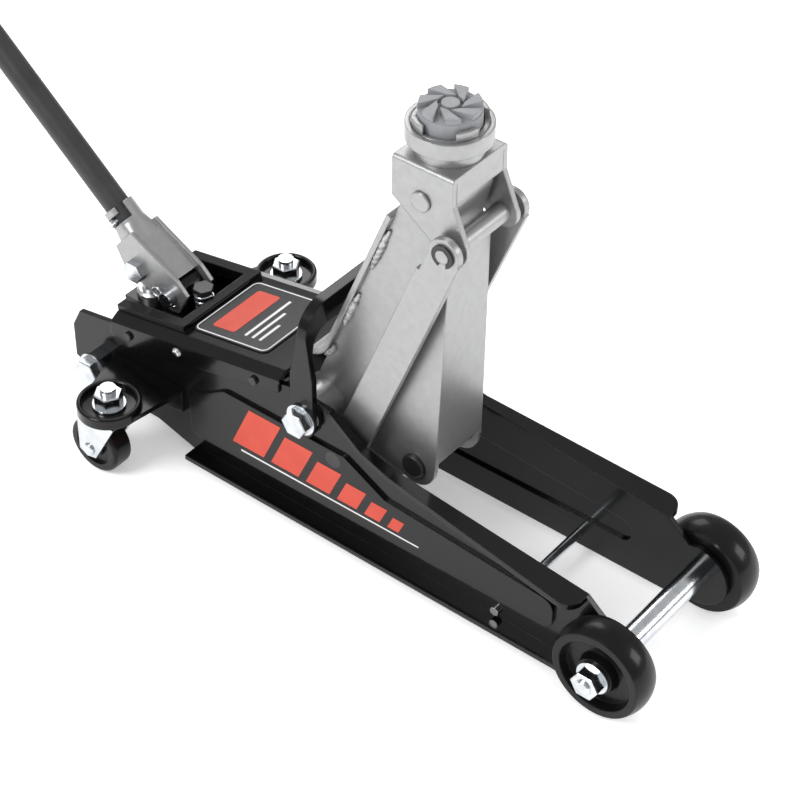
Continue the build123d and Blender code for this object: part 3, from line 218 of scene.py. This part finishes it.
def rod_mesh(points, radii, sides=10):
    """Closed tube along a row of points, with a radius at each."""
    verts = []
    guide = Vector((0.31, 0.17, 0.93))
    for index, point in enumerate(points):
        before = points[max(index - 1, 0)]
        after = points[min(index + 1, len(points) - 1)]
        along = (after - before).normalized()
        side = along.cross(guide).normalized()
        up = side.cross(along)
        for step in range(sides):
            turn = 2 * math.pi * step / sides
            verts.append(point + (side * math.cos(turn) + up * math.sin(turn)) * radii[index])
    faces = ring_faces(len(points), sides)
    faces.append(tuple(reversed(range(sides))))
    faces.append(tuple(range(len(verts) - sides, len(verts))))
    return verts, faces


def thin_print(name, outlines, origin, along, across, thick, mat, body):
    """Flat printed shapes, each a thin prism standing on a face."""
    lift = along.cross(across).normalized() * thick
    verts = []
    faces = []
    for outline in outlines:
        start = len(verts)
        count = len(outline)
        base = [origin + along * (u * MM) + across * (v * MM) for u, v in outline]
        verts += base + [corner + lift for corner in base]
        faces.append(tuple(start + count + i for i in range(count)))
        faces.append(tuple(start + i for i in reversed(range(count))))
        for i in range(count):
            j = (i + 1) % count
            faces.append((start + i, start + j, start + count + j, start + count + i))
    return piece(name, verts, faces, mat, body)


def rounded(width, height, radius, steps=5):
    corners = []
    for cx, cy, first in ((1, 1, 0), (-1, 1, 90), (-1, -1, 180), (1, -1, 270)):
        for step in range(steps + 1):
            turn = math.radians(first + 90 * step / steps)
            u = cx * (width / 2 - radius) + radius * math.cos(turn)
            v = cy * (height / 2 - radius) + radius * math.sin(turn)
            corners.append((u, v))
    return corners


# Arm: weld beads where the back plate meets the flanges
pivot_back, pivot_z = 268.0, 103.0
arm_span = Vector((82.0, 210.0))
arm_length = arm_span.length
arm_dir = arm_span / arm_length
arm_foot_half, arm_top_half = 27.0, 21.0
weld_spans = ((36, 50), (74, 109), (137, 177))
weld_steps = 20
weld_line = 13.3
weld_stand = 1.0
weld_radius = 2.7
curl_start, curl_width = 48, 44


def on_arm(s, t, y):
    back = pivot_back - (s * arm_dir.x - t * arm_dir.y)
    return at(back, y, pivot_z + s * arm_dir.y + t * arm_dir.x)


def arm_half(s):
    return arm_foot_half - (arm_foot_half - arm_top_half) * s / arm_length


for side_name, side in SIDES:
    for number, (low, high) in enumerate(weld_spans):
        points = []
        radii = []
        for step in range(weld_steps + 1):
            part = step / weld_steps
            s = low + (high - low) * part
            swell = math.sin(math.pi * min(max(part, 0.04), 0.96)) ** 0.4
            t = weld_line + chance.uniform(-0.5, 0.5)
            if s < curl_start:
                t += (curl_start - s) ** 2 / curl_width
            points.append(on_arm(s, t, side * (arm_half(s) + weld_stand)))
            radii.append((weld_radius + chance.uniform(-0.4, 0.5)) * swell * MM)
        verts, faces = rod_mesh(points, radii)
        piece("weld_%s_%d" % (side_name, number), verts, faces, weld_metal, "arm", smooth=True)

# Socket: spring clip through the end of the pivot pin, an eye and a bent tail
clip_y = -19.0
clip_wire = 0.9
eye_back, eye_z, eye_radius = 440.5, 108.0, 4.2
clip_points = []
for step in range(19):
    turn = math.radians(200 - step * 20)
    clip_points.append((eye_back - eye_radius * math.cos(turn), eye_z + eye_radius * math.sin(turn)))
clip_points += [(433.5, 104.5), (429.5, 101.5), (425.5, 101.0), (422.5, 103.5)]
clip = [at(back, clip_y, z) for back, z in clip_points]
verts, faces = rod_mesh(clip, [clip_wire * MM] * len(clip), 8)
piece("pin_clip", verts, faces, zinc, "socket", smooth=True)

# Base: bright pin end below each edge of the cover, as (distance from the middle, radius)
stud_back, stud_z, stud_sides = 390.0, 98.0, 24
stud_rings = ((53.0, 3.6), (53.6, 3.6), (53.6, 3.0), (54.4, 3.0), (54.9, 2.6), (55.2, 1.8), (55.3, 0.6))
for side_name, side in SIDES:
    verts = []
    for depth, radius in stud_rings:
        for step in range(stud_sides):
            turn = 2 * math.pi * step / stud_sides
            back = stud_back + radius * math.cos(turn)
            z = stud_z + radius * math.sin(turn)
            verts.append(at(back, side * depth, z))
    faces = ring_faces(len(stud_rings), stud_sides)
    faces.append(tuple(range(stud_sides)))
    faces.append(tuple(range(len(verts) - stud_sides, len(verts))))
    piece("pump_stud_" + side_name, verts, faces, zinc, "base")

# Base: plain slanted bars on the pressed panel of each side plate, and below them a thin pale line painted
# in as the highlight along a bend
print_thick = 0.0002
panel_y = 53.5
bar_low_z = 42.0
bar_end_back, bar_end_z = 157.0, 47.0
bar_rise = 0.185
bar_lean = 0.45
bar_gap = 7.0
bars = []
bar_back = 338.0
for width in (30.0, 26.0, 22.0, 18.0, 14.0, 10.0):
    high_z = bar_end_z + (bar_back - bar_end_back) * bar_rise
    lean = (high_z - bar_low_z) * bar_lean
    left, right = -bar_back, -bar_back + width
    bars.append(((left, bar_low_z), (right, bar_low_z), (right + lean, high_z), (left + lean, high_z)))
    bar_back -= width + bar_gap
# Thin pale strip below the bars: a painted highlight along the bend of the bottom flange, not print
painted_bend_highlight = [((-330.0, 36.5), (-165.0, 38.0), (-165.0, 39.2), (-330.0, 38.0))]


def facing(outlines, side):
    """Outlines as seen from the near side, turned round for the far one."""
    if side < 0:
        return outlines
    return [tuple(reversed(outline)) for outline in outlines]


along = Vector((1, 0, 0))
across = Vector((0, 0, 1))
for side_name, side in SIDES:
    origin = at(0, side * panel_y, 0)
    thick = -side * print_thick
    thin_print("stripe_" + side_name, facing(bars, side), origin, along, across, thick, red_print, "base")
    # The pale strip is painted highlight, given the print colour
    thin_print("line_" + side_name, facing(painted_bend_highlight, side), origin, along, across, thick, pale_print, "base")

# Base: generic plate on the cover with a thin border, a red block and plain pale bars
cover_rise, cover_run = 30.0, 166.0
slope = math.atan2(cover_rise, cover_run)
cover_along = Vector((math.cos(slope), 0, math.sin(slope)))
cover_across = Vector((0, 1, 0))
cover_up = cover_along.cross(cover_across)
plate_half = 0.5
label_centre = middle("label_plate") + cover_up * (plate_half * MM)


def on_label(name, outlines, mat):
    thin_print(name, outlines, label_centre, cover_along, cover_across, print_thick, mat, "base")


outer = rounded(70.5, 69.5, 5.5)
inner = rounded(68.5, 67.5, 4.5)
border = []
for i in range(len(outer)):
    j = (i + 1) % len(outer)
    border.append((outer[i], outer[j], inner[j], inner[i]))
on_label("label_border", border, pale_print)
block_shift = 14.0
block = [(u - block_shift, v) for u, v in rounded(22.0, 52.0, 2.5)]
on_label("label_block", [block], red_print)
row_start, row_step, row_width, row_edge = 6.0, 7.0, 2.4, -25.0
pale_bars = []
for row, reach in enumerate((50.0, 36.0, 22.0)):
    low = row_start + row * row_step
    high = low + row_width
    pale_bars.append(((low, row_edge), (high, row_edge), (high, row_edge + reach), (low, row_edge + reach)))
on_label("label_bars", pale_bars, pale_print)

# Floor, light and camera
floor_mat, floor_tree, floor_bsdf = shader("floor")
floor_noise = noise(floor_tree, 3.0)
floor_tone = ramp(floor_tree, floor_noise.outputs["Fac"], grey(0.90), grey(0.92))
floor_tree.links.new(floor_tone.outputs["Color"], floor_bsdf.inputs["Base Color"])
floor_bsdf.inputs["Roughness"].default_value = 0.7
floor_bsdf.inputs["Emission Color"].default_value = grey(1.0)
floor_bsdf.inputs["Emission Strength"].default_value = 0.32
floor_half, floor_z = 15, -0.0002
floor_corners = [(x * floor_half, y * floor_half, floor_z) for x, y in ((-1, -1), (1, -1), (1, 1), (-1, 1))]
floor_mesh = bpy.data.meshes.new("floor")
floor_mesh.from_pydata(floor_corners, [], [(0, 1, 2, 3)])
floor_mesh.materials.append(floor_mat)
floor = bpy.data.objects.new("floor", floor_mesh)
scene.collection.objects.link(floor)

# World: even light on surfaces, a darker dome in reflections, white behind the part
world = bpy.data.worlds.new("studio")
world.use_nodes = True
scene.world = world
sky = world.node_tree
coords = sky.nodes.new("ShaderNodeTexCoord")
split = sky.nodes.new("ShaderNodeSeparateXYZ")
sky.links.new(coords.outputs["Generated"], split.inputs["Vector"])
dome = ramp(sky, split.outputs["Z"], grey(0.42), grey(0.60), 0.05, 0.7)
path = sky.nodes.new("ShaderNodeLightPath")
mirror_mix = sky.nodes.new("ShaderNodeMix")
mirror_mix.data_type = "RGBA"
mirror_mix.inputs["A"].default_value = grey(0.95)
sky.links.new(path.outputs["Is Glossy Ray"], mirror_mix.inputs["Factor"])
sky.links.new(dome.outputs["Color"], mirror_mix.inputs["B"])
seen_mix = sky.nodes.new("ShaderNodeMix")
seen_mix.data_type = "RGBA"
seen_mix.inputs["B"].default_value = grey(1.0)
sky.links.new(path.outputs["Is Camera Ray"], seen_mix.inputs["Factor"])
sky.links.new(mirror_mix.outputs["Result"], seen_mix.inputs["A"])
sky.links.new(seen_mix.outputs["Result"], sky.nodes["Background"].inputs["Color"])


def area(name, place, target, size, power):
    data = bpy.data.lights.new(name, "AREA")
    data.size = size
    data.energy = power
    lamp = bpy.data.objects.new(name, data)
    scene.collection.objects.link(lamp)
    lamp.location = place
    lamp.rotation_euler = (Vector(target) - Vector(place)).to_track_quat("-Z", "Y").to_euler()


centre = (0.2, 0, 0.12)
area("key", (-0.5, -1.8, 1.9), centre, 0.9, 36)
area("fill", (2.0, 0.9, 1.1), centre, 0.9, 16)
area("rim", (-1.2, 1.2, 1.6), centre, 1.0, 12)

# Camera fitted to the photo, with the focal length in the photo's pixels
sensor = 36
focal_pixels, picture_pixels = 2400, 800
camera_data = bpy.data.cameras.new("camera")
camera_data.sensor_width = sensor
camera_data.lens = sensor * focal_pixels / picture_pixels
camera = bpy.data.objects.new("camera", camera_data)
scene.collection.objects.link(camera)
camera.location = (axle_x * MM + 0.57134, -1.00534, 1.21154)
camera.rotation_euler = tuple(math.radians(angle) for angle in (49.2456, -0.3035, 38.6344))
scene.camera = camera
scene.view_settings.view_transform = "Standard"
